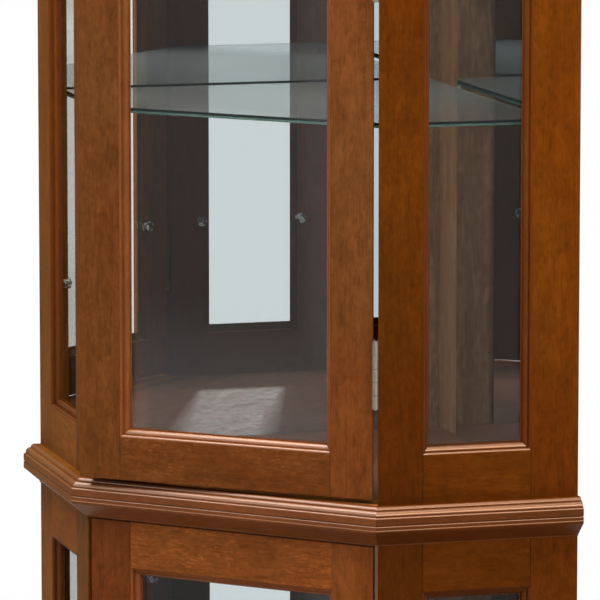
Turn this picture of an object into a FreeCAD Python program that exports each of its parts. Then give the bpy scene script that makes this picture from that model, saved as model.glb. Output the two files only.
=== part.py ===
import FreeCAD, Part
import math
import os
from types import SimpleNamespace

import Sketcher
from FreeCAD import Placement, Rotation, Vector

# A corner curio cabinet: a tall display case with five upright faces. Two back walls meet
# in the room's corner, two narrow glazed sides stand square to those walls, and the front
# between them holds a tall door over a short one.
#
# The floor is z = 0, the doors face -Y, and the origin is under the middle of the cabinet.

# ---------------------------------------------------------------- driving sizes (mm, degrees)
SIZES = {
    # carcass
    "total_height": 1829.0,
    "front_width": 330.0,
    "side_width": 204.5,
    "frame_thick": 19.0,
    "frame_drop": 19.0,
    "front_stile_width": 45.5,
    "rear_stile_width": 48.7,
    "deck_height": 712.0,
    "base_height": 86.0,
    "panel_thick": 19.0,
    "back_thick": 9.0,
    "mirror_thick": 4.0,
    "mirror_clearance": 0.5,
    "left_corner_bare": 76.0,
    "right_corner_bare": 80.0,
    "waist_rail_thick": 19.0,
    "arris": 0.6,
    # glazed openings, measured from the floor and the head of each compartment
    "sill_rise": 47.3,
    "head_drop": 48.0,
    "glass_thick": 3.0,
    "glass_clearance": 1.0,
    "bead_width": 8.2,
    "bead_thick": 11.0,
    "bead_setback": 0.3,
    "bead_round": 2.0,
    "bead_quirk": 4.6,
    "bead_fillet": 1.2,
    # doors
    "door_thick": 19.0,
    "latch_stile_width": 45.5,
    "hinge_stile_width": 45.5,
    "hinge_gap": 5.4,
    "latch_gap": 4.6,
    "door_floor_gap": 4.5,
    "door_head_gap": 1.2,
    "door_ajar": 4.0,
    # waist moulding
    "waist_height": 40.0,
    "waist_projection": 17.9,
    "waist_ledge": 5.5,
    "waist_top_reach": 4.8,
    "waist_top_fall": 2.6,
    "waist_step": 0.8,
    "waist_ovolo_reach": 4.6,
    "waist_ovolo_fall": 4.8,
    "waist_band_round": 1.4,
    "waist_band_foot": 23.4,
    "waist_quirk": 1.0,
    "waist_nose_top": 22.4,
    "waist_nose_base": 18.4,
    "waist_splay_reach": 15.8,
    "waist_splay_rise": 14.0,
    "waist_foot": 1.2,
    # crown moulding
    "crown_height": 75.0,
    "crown_projection": 52.0,
    "crown_foot": 9.0,
    "crown_bead_height": 7.0,
    "crown_fillet": 3.0,
    "crown_ovolo": 9.0,
    "crown_lip_height": 11.0,
    "crown_back_rise": 30.0,
    "crown_rim": 14.0,
    # skirting round the foot
    "skirt_thick": 14.0,
    "skirt_round_rise": 10.0,
    "skirt_round_reach": 8.0,
    "skirt_fillet": 2.0,
    "skirt_collar": 6.0,
    # glass shelves and their supports
    "shelf_thick": 5.0,
    "shelf_setback": 26.0,
    "shelf_clearance": 2.0,
    "shelf_back_clearance": 11.5,
    "upper_shelf_rise": 364.5,
    "upper_shelf_spacing": 340.0,
    "lower_shelf_rise": 300.0,
    "pin_radius": 2.5,
    "pin_depth": 8.0,
    "pin_plate_width": 8.0,
    "pin_plate_height": 10.0,
    "pin_plate_thick": 1.6,
    "pin_reach": 9.0,
    "front_pin_inset": 26.0,
    "rear_pin_inset": 32.5,
    "corner_clip_width": 8.0,
    "corner_clip_reach": 30.0,
    "corner_clip_height": 10.0,
    # hinges
    "hinge_length": 65.0,
    "hinge_inset": 91.0,
    "hinge_reach": 4.0,
    "leaf_thick": 1.6,
    "leaf_width": 17.0,
    "barrel_radius": 3.35,
    "barrel_clearance": 0.4,
    "knuckle_gap": 0.3,
    "hinge_pin_radius": 1.5,
    "hinge_pin_clearance": 0.05,
    "hinge_pin_head_radius": 2.6,
    "hinge_pin_head_height": 1.2,
    # screws
    "leaf_screw_inset": 16.0,
    "leaf_screw_radius": 1.4,
    "leaf_screw_head_radius": 2.9,
    "leaf_screw_length": 12.0,
    "screw_clearance": 0.05,
    # glass clips
    "upper_clip_inset": 173.0,
    "lower_clip_inset": 182.0,
    "clip_radius": 5.5,
    "clip_seat": 2.4,
    "clip_plate_thick": 2.5,
    "clip_screw_radius": 1.1,
    "clip_screw_length": 10.0,
    "clip_screw_head_radius": 2.2,
    "clip_screw_head_height": 1.6,
    # knobs
    "knob_length": 24.0,
    "knob_radius": 11.0,
    "knob_neck_radius": 4.5,
    "knob_base_radius": 8.0,
    "knob_base_height": 2.5,
    "knob_ball_height": 14.0,
    "knob_screw_radius": 2.0,
    "knob_screw_head_radius": 4.0,
    "knob_screw_head_height": 2.0,
    "knob_screw_clearance": 0.25,
    # magnetic catches
    "catch_width": 46.0,
    "catch_depth": 16.0,
    "catch_height": 18.0,
    "catch_inset": 6.0,
    "catch_gap": 0.6,
    "strike_thick": 1.2,
    "strike_rise": 6.0,
    "strike_height": 11.0,
    "strike_width": 36.0,
}

KNUCKLES = 5
UPPER_CLIPS = 3
LOWER_CLIPS = 2
UPPER_SHELVES = 2
UPPER_HINGES = 3
LOWER_HINGES = 2
CORNER_TURN = 45.0  # each side frame turns this far back from the front
HINGE_TURN = 112.5  # from +X round to the inward direction of the gap that holds the hinges
ARC_FULLNESS = 0.72  # an arc's radius over its chord: 0.707 would be a full quarter round
CUT_MARGIN = 2.0  # how far a cutting outline passes the solid that it trims
FLATNESS = 1e-4  # how far a vertex may lie from a plane and still count as on it

NODES = {}
doc = FreeCAD.newDocument("corner_curio_cabinet")


def make_sheet():
    """Writes the driving sizes as plain numbers, each under its own alias."""
    sheet = doc.addObject("Spreadsheet::Sheet", "Sizes")
    for row, (alias, value) in enumerate(SIZES.items(), start=1):
        sheet.set(f"A{row}", alias)
        sheet.set(f"B{row}", str(value))
        sheet.setAlias(f"B{row}", alias)
    doc.recompute()
    return sheet


class Dim:
    """A size with its value and the spreadsheet expression that gives it."""

    def __init__(self, value, text):
        self.value = value
        self.text = text

    def __add__(self, other):
        other = as_dim(other)
        return Dim(self.value + other.value, f"({self.text} + {other.text})")

    def __sub__(self, other):
        other = as_dim(other)
        return Dim(self.value - other.value, f"({self.text} - {other.text})")

    def __mul__(self, other):
        other = as_dim(other)
        return Dim(self.value * other.value, f"({self.text} * {other.text})")

    def __truediv__(self, other):
        other = as_dim(other)
        return Dim(self.value / other.value, f"({self.text} / {other.text})")

    def __neg__(self):
        return self * -1.0

    def __radd__(self, other):
        return as_dim(other) + self

    def __rsub__(self, other):
        return as_dim(other) - self

    def __rmul__(self, other):
        return as_dim(other) * self


def as_dim(number):
    return number if isinstance(number, Dim) else Dim(float(number), f"({float(number)})")


def distance(a, b):
    """The straight distance between two points, each a pair of sizes."""
    across = as_dim(b[0]) - a[0]
    up = as_dim(b[1]) - a[1]
    text = f"sqrt({across.text}^2 + {up.text}^2)"
    return Dim(math.hypot(across.value, up.value), text)


sheet = make_sheet()
size = SimpleNamespace(**{alias: Dim(float(sheet.get(alias)), f"Sizes.{alias}") for alias in SIZES})

# The cabinet's corners turn by 45 degrees, so its mitres and bevels lie at 22.5.
COS45 = Dim(math.sqrt(0.5), "sqrt(0.5)")
SIN22 = Dim(math.sin(math.pi / 8), "sin(22.5)")
COS22 = Dim(math.cos(math.pi / 8), "cos(22.5)")
TAN22 = Dim(math.tan(math.pi / 8), "tan(22.5)")

# ---------------------------------------------------------------- derived plan and levels
corner_depth = size.front_width / 2 + size.side_width * 2 * COS45
wall_length = size.side_width + size.front_width * COS45
front_y = (size.crown_projection - corner_depth) / 2
frame_height = size.total_height - size.frame_drop
crown_base = size.total_height - size.crown_height
waist_base = size.deck_height - size.waist_height
mirror_face = size.back_thick + size.mirror_thick
glass_back = size.bead_thick + size.glass_thick
bevel_reach = size.frame_thick * TAN22

# Each compartment: the floor it stands on, the underside of what closes it, and the
# moulding line that its door reaches up to.
upper = SimpleNamespace(
    name="upper",
    floor=size.deck_height,
    ceiling=crown_base,
    head=crown_base,
    clips=UPPER_CLIPS,
    clip_inset=size.upper_clip_inset,
    ajar=size.door_ajar,
    hinges=UPPER_HINGES,
)
lower = SimpleNamespace(
    name="lower",
    floor=size.base_height,
    ceiling=size.deck_height - size.panel_thick,
    head=waist_base,
    clips=LOWER_CLIPS,
    clip_inset=size.lower_clip_inset,
    ajar=as_dim(0.0),
    hinges=LOWER_HINGES,
)
COMPARTMENTS = (upper, lower)
for part in COMPARTMENTS:
    part.sill = part.floor + size.sill_rise
    part.lintel = part.head - size.head_drop


class Station:
    """An upright face of the cabinet: x runs along it, y into the cabinet, z up."""

    def __init__(self, x, y, turn):
        self.x = as_dim(x)
        self.y = as_dim(y)
        self.turn = as_dim(turn)

    def shifted(self, along):
        """The same face with its origin moved along it."""
        along = as_dim(along)
        turn = math.radians(self.turn.value)
        cos_turn = as_dim(math.cos(turn))
        sin_turn = as_dim(math.sin(turn))
        return Station(self.x + along * cos_turn, self.y + along * sin_turn, self.turn)


def side_station(hand):
    """The outer face of a side frame, from its front corner. hand is 1 right, -1 left."""
    return Station(hand * size.front_width / 2, front_y, hand * CORNER_TURN)


def wall_station(hand):
    """A back wall, from the rear edge of its side frame towards the room's corner."""
    rear_x = size.front_width / 2 + size.side_width * COS45
    return Station(hand * rear_x, front_y + size.side_width * COS45, hand * (90 + CORNER_TURN))


front_station = Station(0.0, front_y, 0.0)

# The hinge pin stands in front of the middle of the bevelled gap beside the door.
axis_x = size.front_width / 2 - size.hinge_gap / 2 + size.hinge_reach * SIN22
axis_out = size.hinge_reach * COS22


def door_station(ajar):
    """A door's own frame, with its origin on the hinge axis."""
    return Station(axis_x, front_y - axis_out, ajar)


# ---------------------------------------------------------------- modelling helpers
def bind(obj, **properties):
    """Ties properties to spreadsheet expressions, after giving them the same values."""
    for name, value in properties.items():
        value = as_dim(value)
        setattr(obj, name, value.value)
        obj.setExpression(name, value.text)


def seat(obj, station, z=0.0):
    """Stands an object at a station, at height z."""
    z = as_dim(z)
    point = Vector(station.x.value, station.y.value, z.value)
    obj.Placement = Placement(point, Rotation(Vector(0, 0, 1), station.turn.value))
    obj.setExpression("Placement.Base.x", station.x.text)
    obj.setExpression("Placement.Base.y", station.y.text)
    obj.setExpression("Placement.Base.z", z.text)
    if "Sizes" in station.turn.text:
        obj.setExpression("Placement.Rotation.Angle", station.turn.text)
    return obj


def put(obj, x=0.0, y=0.0, z=0.0, rotation=None):
    """Places an object at a point of whatever holds it."""
    x, y, z = as_dim(x), as_dim(y), as_dim(z)
    obj.Placement = Placement(Vector(x.value, y.value, z.value), rotation or Rotation())
    obj.setExpression("Placement.Base.x", x.text)
    obj.setExpression("Placement.Base.y", y.text)
    obj.setExpression("Placement.Base.z", z.text)
    return obj


def node(obj, label):
    """Names a finished sub-part, which is then written to its own file."""
    obj.Label = label
    NODES[label] = obj
    return obj


def origin_plane(body, role):
    return next(plane for plane in body.Origin.OriginFeatures if plane.Role == role)


def pin_vertex(sketch, geometry, position, axis, value):
    """Holds one coordinate of a sketch vertex at a size."""
    value = as_dim(value)
    if value.value == 0.0 and "Sizes" not in value.text:
        line = -2 if axis == "X" else -1
        sketch.addConstraint(Sketcher.Constraint("PointOnObject", geometry, position, line))
        return
    kind = "Distance" + axis
    constraint = Sketcher.Constraint(kind, -1, 1, geometry, position, value.value)
    index = sketch.addConstraint(constraint)
    sketch.setExpression(f"Constraints[{index}]", value.text)


def arc_between(start, end, radius, turn):
    """The minor arc from start to end; turn is 1 anticlockwise and -1 clockwise."""
    chord = end - start
    middle = (start + end) * 0.5
    left = Vector(-chord.y, chord.x, 0).normalize()
    rise = math.sqrt(radius**2 - (chord.Length / 2) ** 2)
    centre = middle + left * rise * turn
    first, last = (start, end) if turn > 0 else (end, start)
    angles = [math.atan2(p.y - centre.y, p.x - centre.x) for p in (first, last)]
    return Part.ArcOfCircle(Part.Circle(centre, Vector(0, 0, 1), radius), *angles)


def draw_outline(sketch, points):
    """Draws a closed outline. A point is (x, y), or (x, y, turn) where an arc leaves it."""
    count = len(points)
    first = sketch.GeometryCount
    spots = [Vector(as_dim(p[0]).value, as_dim(p[1]).value, 0) for p in points]
    ends = []
    for i, point in enumerate(points):
        j = (i + 1) % count
        turn = point[2] if len(point) == 3 else 0
        if turn:
            radius = distance(point, points[j]) * ARC_FULLNESS
            sketch.addGeometry(arc_between(spots[i], spots[j], radius.value, turn))
        else:
            sketch.addGeometry(Part.LineSegment(spots[i], spots[j]))
        ends.append((2, 1) if turn < 0 else (1, 2))
    for i, point in enumerate(points):
        j = (i + 1) % count
        pair = (first + i, ends[i][1], first + j, ends[j][0])
        sketch.addConstraint(Sketcher.Constraint("Coincident", *pair))
        pin_vertex(sketch, first + i, ends[i][0], "X", point[0])
        pin_vertex(sketch, first + i, ends[i][0], "Y", point[1])
        if len(point) == 3:
            radius = distance(point, points[j]) * ARC_FULLNESS
            index = sketch.addConstraint(Sketcher.Constraint("Radius", first + i, radius.value))
            sketch.setExpression(f"Constraints[{index}]", radius.text)


def add_sketch(body, name, role):
    sketch = body.newObject("Sketcher::SketchObject", name)
    sketch.AttachmentSupport = [(origin_plane(body, role), "")]
    sketch.MapMode = "FlatFace"
    return sketch


def prism(name, role, points, length):
    """A body whose outline on one of its origin planes is padded by a length."""
    body = doc.addObject("PartDesign::Body", name)
    sketch = add_sketch(body, name + "_outline", role)
    draw_outline(sketch, points)
    pad = body.newObject("PartDesign::Pad", name + "_pad")
    pad.Profile = sketch
    bind(pad, Length=length)
    return body


def cut_through(body, name, role, outlines):
    """Cuts outlines right through a body, both ways from one of its origin planes."""
    sketch = add_sketch(body, name + "_cut", role)
    for points in outlines:
        draw_outline(sketch, points)
    return pocket_through(body, name, sketch)


def pocket_through(body, name, sketch):
    pocket = body.newObject("PartDesign::Pocket", name + "_pocket")
    pocket.Profile = sketch
    pocket.Type = "ThroughAll"
    pocket.SideType = "Symmetric"
    return pocket


def drill(body, name, x, z, radius):
    """Drills a round hole along y, right through a body."""
    sketch = add_sketch(body, name + "_hole", "XZ_Plane")
    x, z, radius = as_dim(x), as_dim(z), as_dim(radius)
    circle = Part.Circle(Vector(x.value, z.value, 0), Vector(0, 0, 1), radius.value)
    sketch.addGeometry(circle)
    pin_vertex(sketch, 0, 3, "X", x)
    pin_vertex(sketch, 0, 3, "Y", z)
    index = sketch.addConstraint(Sketcher.Constraint("Radius", 0, radius.value))
    sketch.setExpression(f"Constraints[{index}]", radius.text)
    return pocket_through(body, name + "_hole", sketch)


def ease(body, front=0.0):
    """Takes the sharp arris off the edges round a board's front face, at y = front."""
    doc.recompute()
    level = as_dim(front).value
    tip = body.Tip
    edges = []
    for index, edge in enumerate(tip.Shape.Edges, start=1):
        if all(abs(vertex.Y - level) < FLATNESS for vertex in edge.Vertexes):
            edges.append(f"Edge{index}")
    chamfer = body.newObject("PartDesign::Chamfer", body.Name + "_arris")
    chamfer.Base = (tip, edges)
    bind(chamfer, Size=size.arris)
    return body


def rectangle(x0, x1, y0, y1):
    return [(x0, y0), (x1, y0), (x1, y1), (x0, y1)]


def group(name, members):
    compound = doc.addObject("Part::Compound", name)
    compound.Links = members
    return compound


def copy_of(master, name):
    """Another piece made to the same pattern."""
    link = doc.addObject("App::Link", name)
    link.LinkedObject = master
    return link


# ---------------------------------------------------------------- carcass
def side_frames():
    """Two glazed side frames, each of two stiles and three rails."""
    rear = size.side_width - size.rear_stile_width
    rails = {
        "bottom_rail": (as_dim(0.0), lower.sill),
        "waist_rail": (lower.lintel, upper.sill),
        "top_rail": (upper.lintel, frame_height),
    }
    for side, hand in (("left", -1), ("right", 1)):
        station = side_station(hand)
        bevelled = [
            (0.0, 0.0),
            (hand * size.front_stile_width, 0.0),
            (hand * size.front_stile_width, size.frame_thick),
            (hand * bevel_reach, size.frame_thick),
        ]
        stile = ease(prism(f"{side}_front_stile", "XY_Plane", bevelled, frame_height))
        node(seat(stile, station), f"{side}_front_stile")
        square = rectangle(hand * rear, hand * size.side_width, 0.0, size.frame_thick)
        stile = ease(prism(f"{side}_rear_stile", "XY_Plane", square, frame_height))
        node(seat(stile, station), f"{side}_rear_stile")
        for rail, (low, high) in rails.items():
            label = f"{side}_{rail}"
            section = rectangle(
                hand * size.front_stile_width, hand * rear, 0.0, size.frame_thick
            )
            board = ease(prism(label, "XY_Plane", section, high - low))
            node(seat(board, station, low), label)


def panel_outline():
    """The plan of a bottom, deck or top panel, inside the side frames and the back boards."""
    half = size.front_width / 2
    run = (size.side_width - size.back_thick) * COS45
    set_in = size.frame_thick * COS45
    right = [
        (half, 0.0),
        (half - bevel_reach, size.frame_thick),
        (half + run - set_in, run + set_in),
    ]
    corner = (0.0, corner_depth - size.back_thick / COS45)
    left = [(-x, y) for x, y in right]
    return right + [corner] + left[::-1]


def panels():
    """The bottom, the waist deck and the top, which tie the two side frames together."""
    tops = {
        "bottom_panel": lower.floor,
        "waist_deck": upper.floor,
        "top_panel": crown_base + size.panel_thick,
    }
    for label, top in tops.items():
        board = prism(label, "XY_Plane", panel_outline(), size.panel_thick)
        node(seat(board, front_station, top - size.panel_thick), label)


def waist_front_rail():
    """The rail under the deck's front edge, which closes the carcass above the lower door."""
    half = size.front_width / 2
    slope = size.waist_rail_thick * TAN22
    outline = [
        (-half, 0.0),
        (half, 0.0),
        (half - slope, size.waist_rail_thick),
        (slope - half, size.waist_rail_thick),
    ]
    height = size.waist_height - size.panel_thick
    rail = prism("waist_front_rail", "XY_Plane", outline, height)
    node(seat(rail, front_station, waist_base), "waist_front_rail")


def backs():
    """Two back boards that butt at the corner, each with two mirrors that stop short of it."""
    bare = {"left": size.left_corner_bare, "right": size.right_corner_bare}
    for side, hand in (("left", -1), ("right", 1)):
        station = wall_station(hand)
        lap = size.back_thick if hand < 0 else as_dim(0.0)
        end = wall_length - lap
        section = rectangle(hand * size.frame_thick, hand * end, 0.0, size.back_thick)
        board = prism(f"{side}_back_panel", "XY_Plane", section, frame_height)
        node(seat(board, station), f"{side}_back_panel")
        start = size.frame_thick + size.mirror_clearance
        stop = wall_length - bare[side]
        panes = []
        for part in COMPARTMENTS:
            outline = rectangle(hand * start, hand * stop, size.back_thick, mirror_face)
            height = part.ceiling - part.floor - size.mirror_clearance * 2
            pane = prism(f"{side}_{part.name}_mirror", "XY_Plane", outline, height)
            panes.append(put(pane, z=part.floor + size.mirror_clearance))
        node(seat(group(f"{side}_mirrors", panes), station), f"{side}_mirrors")


# ---------------------------------------------------------------- mouldings
def mitre_outline(projection, end=None):
    """The waste beyond a 22.5 degree mitre: at the start of a run, or at its far end."""
    margin = CUT_MARGIN
    inner = (projection + margin) * TAN22
    outer = as_dim(-margin) * TAN22
    waste = [
        (-2 * margin, margin),
        (-2 * margin, -projection - margin),
        (outer, -projection - margin),
        (inner, margin),
    ]
    return waste if end is None else [(end - x, y) for x, y in waste]


def facing_front(profile):
    """A profile of (projection, height) points, mirrored to stand out towards -y."""
    return [(-as_dim(point[0]), point[1], *(-turn for turn in point[2:])) for point in profile]


def moulding_set(kind, profile, projection, z):
    """Three lengths of one moulding round the front and sides, mitred at the front corners."""
    overrun = projection * TAN22
    side_run = size.side_width + overrun
    front_run = size.front_width + overrun * 2
    half = size.front_width / 2
    runs = {
        "left": (side_station(-1).shifted(-size.side_width), side_run, (False, True)),
        "front": (front_station.shifted(-half - overrun), front_run, (True, True)),
        "right": (side_station(1).shifted(-overrun), side_run, (True, False)),
    }
    outline = facing_front(profile)
    for side, (station, run, mitred) in runs.items():
        label = f"{kind}_{side}"
        length = prism(label, "YZ_Plane", outline, run)
        waste = []
        if mitred[0]:
            waste.append(mitre_outline(projection))
        if mitred[1]:
            waste.append(mitre_outline(projection, run))
        cut_through(length, label, "XY_Plane", waste)
        node(seat(length, station, z), label)


def waist_profile():
    """Foot, splay, nose, quirk, band, ovolo and ledge, as (projection, height) from the foot."""
    nose = size.waist_projection
    crease = nose - size.waist_quirk
    top_reach = size.waist_ledge + size.waist_top_reach
    top_foot = size.waist_height - size.waist_top_fall
    ovolo_head = top_foot - size.waist_step
    ovolo_reach = top_reach + size.waist_step
    ovolo_foot = ovolo_head - size.waist_ovolo_fall
    band_head = ovolo_foot - size.waist_step
    return [
        (0.0, 0.0),
        (size.waist_foot, 0.0),
        (size.waist_foot, size.waist_foot),
        (size.waist_splay_reach, size.waist_splay_rise, 1),
        (nose, size.waist_nose_base),
        (nose, size.waist_nose_top - size.waist_quirk, 1),
        (crease, size.waist_nose_top),
        (crease, size.waist_band_foot),
        (nose, size.waist_band_foot),
        (nose, band_head - size.waist_band_round, 1),
        (nose - size.waist_band_round, band_head),
        (ovolo_reach + size.waist_ovolo_reach, band_head),
        (ovolo_reach + size.waist_ovolo_reach, ovolo_foot, 1),
        (ovolo_reach, ovolo_head),
        (top_reach, ovolo_head),
        (top_reach, top_foot, 1),
        (size.waist_ledge, size.waist_height),
        (0.0, size.waist_height),
    ]


def crown_profile():
    """Foot, deep cove, ovolo and lip; the back leans away above the part that is fixed."""
    cove_top = size.crown_height - size.crown_lip_height - size.crown_ovolo - size.crown_fillet
    ovolo_in = size.crown_projection - size.crown_ovolo
    cove_out = ovolo_in - size.crown_fillet
    return [
        (0.0, 0.0),
        (size.crown_foot, 0.0),
        (size.crown_foot, size.crown_bead_height),
        (size.crown_foot + size.crown_fillet, size.crown_bead_height, -1),
        (cove_out, cove_top),
        (ovolo_in, cove_top),
        (ovolo_in, cove_top + size.crown_fillet, 1),
        (size.crown_projection, size.crown_height - size.crown_lip_height),
        (size.crown_projection, size.crown_height),
        (size.crown_projection - size.crown_rim, size.crown_height),
        (0.0, size.crown_back_rise),
    ]


def skirt_profile():
    """A flat board with a rounded shoulder and a small collar at the top."""
    neck = size.skirt_thick - size.skirt_round_reach
    shoulder = size.base_height - size.skirt_collar - size.skirt_round_rise
    return [
        (0.0, 0.0),
        (size.skirt_thick, 0.0),
        (size.skirt_thick, shoulder, 1),
        (neck, shoulder + size.skirt_round_rise),
        (neck - size.skirt_fillet, shoulder + size.skirt_round_rise),
        (neck - size.skirt_fillet, size.base_height),
        (0.0, size.base_height),
    ]


def mouldings():
    moulding_set("base_skirt", skirt_profile(), size.skirt_thick, as_dim(0.0))
    moulding_set("waist_moulding", waist_profile(), size.waist_projection, waist_base)
    moulding_set("crown", crown_profile(), size.crown_projection, crown_base)


# ---------------------------------------------------------------- glazing
def bead_strip(name, length):
    """One glazing strip: it runs along x, its back is at the glass, its ends are mitred."""
    rim = size.bead_thick - size.bead_fillet
    shoulder = size.bead_width - size.bead_fillet
    section = [
        (size.bead_setback, 0.0, -1),
        (size.bead_setback + size.bead_round, size.bead_round),
        (size.bead_quirk, size.bead_round, -1),
        (rim - size.bead_fillet, shoulder),
        (rim, shoulder),
        (rim, size.bead_width),
        (size.bead_thick, size.bead_width),
        (size.bead_thick, 0.0),
    ]
    strip = prism(name, "YZ_Plane", section, length)
    reach = size.bead_width + CUT_MARGIN
    waste = [
        (-2 * CUT_MARGIN, -CUT_MARGIN),
        (-CUT_MARGIN, -CUT_MARGIN),
        (reach, reach),
        (-2 * CUT_MARGIN, reach),
    ]
    far = [(length - x, y) for x, y in waste]
    cut_through(strip, name, "XZ_Plane", [waste, far])
    return strip


def bead_frame(name, x0, x1, z0, z1, front=0.0):
    """Four mitred strips round an opening from x0 to x1 and z0 to z1."""
    across = x1 - x0
    up = z1 - z0
    corners = [(x0, z0, across), (x1, z0, up), (x1, z1, across), (x0, z1, up)]
    strips = []
    for quarter, (x, z, length) in enumerate(corners):
        strip = bead_strip(f"{name}_{quarter}", length)
        turn = Rotation(Vector(0, 1, 0), -90 * quarter)
        strips.append(put(strip, x, front, z, turn))
    return strips


def pane(name, x0, x1, part, front=0.0):
    """A glass pane behind its bead, smaller all round than the opening it fills."""
    clear = size.glass_clearance
    face = as_dim(front) + size.bead_thick
    outline = rectangle(x0 + clear, x1 - clear, face, face + size.glass_thick)
    return prism(name, "XY_Plane", outline, part.lintel - part.sill - clear * 2)


def side_span(hand):
    """A side window's two edges, lowest x first, in the side frame's own measure."""
    near = size.front_stile_width
    far = size.side_width - size.rear_stile_width
    return (near, far) if hand > 0 else (-far, -near)


def side_glazing():
    """Four side panes, and one node that holds the strips round all four."""
    frames = []
    for side, hand in (("left", -1), ("right", 1)):
        station = side_station(hand)
        x0, x1 = side_span(hand)
        for part in COMPARTMENTS:
            label = f"{side}_{part.name}_glass"
            glass = pane(label, x0, x1, part)
            node(seat(glass, station, part.sill + size.glass_clearance), label)
            strips = bead_frame(f"{side}_{part.name}_bead", x0, x1, part.sill, part.lintel)
            frame = group(f"{side}_{part.name}_beads", strips)
            frames.append(seat(frame, station))
    node(group("side_glazing_beads", frames), "side_glazing_beads")


# ---------------------------------------------------------------- glass clips
def clip_master(front=0.0):
    """A round clip on the frame's inner face, whose overhang steps down to the glass."""
    front = as_dim(front)
    seat_y = front + size.frame_thick
    glass_y = front + glass_back
    top = seat_y + size.clip_plate_thick
    inward = Rotation(Vector(1, 0, 0), -90)
    disc = doc.addObject("Part::Cylinder", "clip_disc")
    bind(disc, Radius=size.clip_radius, Height=top - glass_y)
    put(disc, -size.clip_seat, glass_y, 0.0, inward)
    wood = doc.addObject("Part::Box", "clip_wood")
    past = size.clip_radius + CUT_MARGIN
    bind(wood, Length=past * 2, Width=seat_y - glass_y, Height=past * 2)
    put(wood, size.glass_clearance - past * 2, glass_y, -past)
    bore = doc.addObject("Part::Cylinder", "clip_bore")
    bind(bore, Radius=size.clip_screw_radius + size.screw_clearance)
    bind(bore, Height=size.clip_plate_thick + 2 * CUT_MARGIN)
    put(bore, -size.clip_seat, seat_y - CUT_MARGIN, 0.0, inward)
    clip = doc.addObject("Part::Cut", "glass_clip")
    clip.Base = disc
    clip.Tool = fuse("clip_waste", [wood, bore])
    return clip


def clip_screw_master(front=0.0):
    """A pan head screw that holds a clip, with its shank along y into the frame."""
    top = as_dim(front) + size.frame_thick + size.clip_plate_thick
    head = doc.addObject("Part::Cylinder", "clip_screw_head")
    bind(head, Radius=size.clip_screw_head_radius, Height=size.clip_screw_head_height)
    shank = doc.addObject("Part::Cylinder", "clip_screw_shank")
    bind(shank, Radius=size.clip_screw_radius, Height=size.clip_screw_length)
    inward = Rotation(Vector(1, 0, 0), -90)
    put(head, -size.clip_seat, top, 0.0, inward)
    put(shank, -size.clip_seat, top - size.clip_screw_length, 0.0, inward)
    return fuse("clip_screw", [head, shank])


def fuse(name, shapes):
    fused = doc.addObject("Part::MultiFuse", name)
    fused.Shapes = shapes
    return fused


def clip_levels(part):
    """Heights of a window's clips, evenly spread between its floor and its head."""
    first = part.floor + part.clip_inset
    last = part.head - part.clip_inset
    step = (last - first) / (part.clips - 1)
    return [first + step * index for index in range(part.clips)]


def clips_round(name, x0, x1, part, masters):
    """Clips with their screws up both edges of one window."""
    members = []
    about_face = Rotation(Vector(0, 1, 0), 180)
    for level, z in enumerate(clip_levels(part)):
        for index, master in enumerate(masters):
            near = copy_of(master, f"{name}_{level}_near_{index}")
            far = copy_of(master, f"{name}_{level}_far_{index}")
            members.append(put(near, x0, 0.0, z))
            members.append(put(far, x1, 0.0, z, about_face))
    return members


def side_clips():
    masters = (clip_master(), clip_screw_master())
    groups = []
    for side, hand in (("left", -1), ("right", 1)):
        x0, x1 = side_span(hand)
        members = []
        for part in COMPARTMENTS:
            members += clips_round(f"{side}_{part.name}_clip", x0, x1, part, masters)
        groups.append(seat(group(f"{side}_clips", members), side_station(hand)))
    node(group("side_glass_clips", groups), "side_glass_clips")


# ---------------------------------------------------------------- shelves
def shelf_levels():
    """Each shelf's name and the height of its underside."""
    levels = {"lower_glass_shelf": lower.floor + size.lower_shelf_rise}
    names = ("middle_glass_shelf", "upper_glass_shelf")
    for index in range(UPPER_SHELVES):
        rise = size.upper_shelf_rise + size.upper_shelf_spacing * index
        levels[names[index]] = upper.floor + rise
    return levels


def shelves():
    """Five-sided glass shelves, clear of the side frames and the mirrors all round."""
    half = size.front_width / 2
    side_gap = (size.frame_thick + size.shelf_clearance) / COS45
    back_gap = (mirror_face + size.shelf_back_clearance) / COS45
    spread = half - side_gap
    reach = corner_depth - back_gap
    right = [
        (spread + size.shelf_setback, size.shelf_setback),
        ((reach + spread) / 2, (reach - spread) / 2),
    ]
    left = [(-x, y) for x, y in right]
    outline = right + [(0.0, reach)] + left[::-1]
    for label, underside in shelf_levels().items():
        shelf = prism(label, "XY_Plane", outline, size.shelf_thick)
        node(seat(shelf, front_station, underside), label)


def shelf_pin_master():
    """A clear peg with a small plate: the shelf lies on the plate's foot, at z = 0."""
    inner = size.frame_thick
    plate = doc.addObject("Part::Box", "shelf_pin_plate")
    bind(plate, Length=size.pin_plate_width, Width=size.pin_plate_thick)
    bind(plate, Height=size.pin_plate_height)
    put(plate, -size.pin_plate_width / 2, inner, -size.pin_plate_height)
    foot = doc.addObject("Part::Box", "shelf_pin_foot")
    bind(foot, Length=size.pin_plate_width, Width=size.pin_reach, Height=size.pin_plate_thick)
    put(foot, -size.pin_plate_width / 2, inner, -size.pin_plate_thick)
    peg = doc.addObject("Part::Cylinder", "shelf_pin_peg")
    overlap = size.pin_plate_thick / 2
    bind(peg, Radius=size.pin_radius, Height=size.pin_depth + overlap)
    inward = Rotation(Vector(1, 0, 0), -90)
    put(peg, 0.0, inner - size.pin_depth, -size.pin_plate_height / 2, inward)
    return fuse("shelf_pin", [plate, foot, peg])


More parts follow.
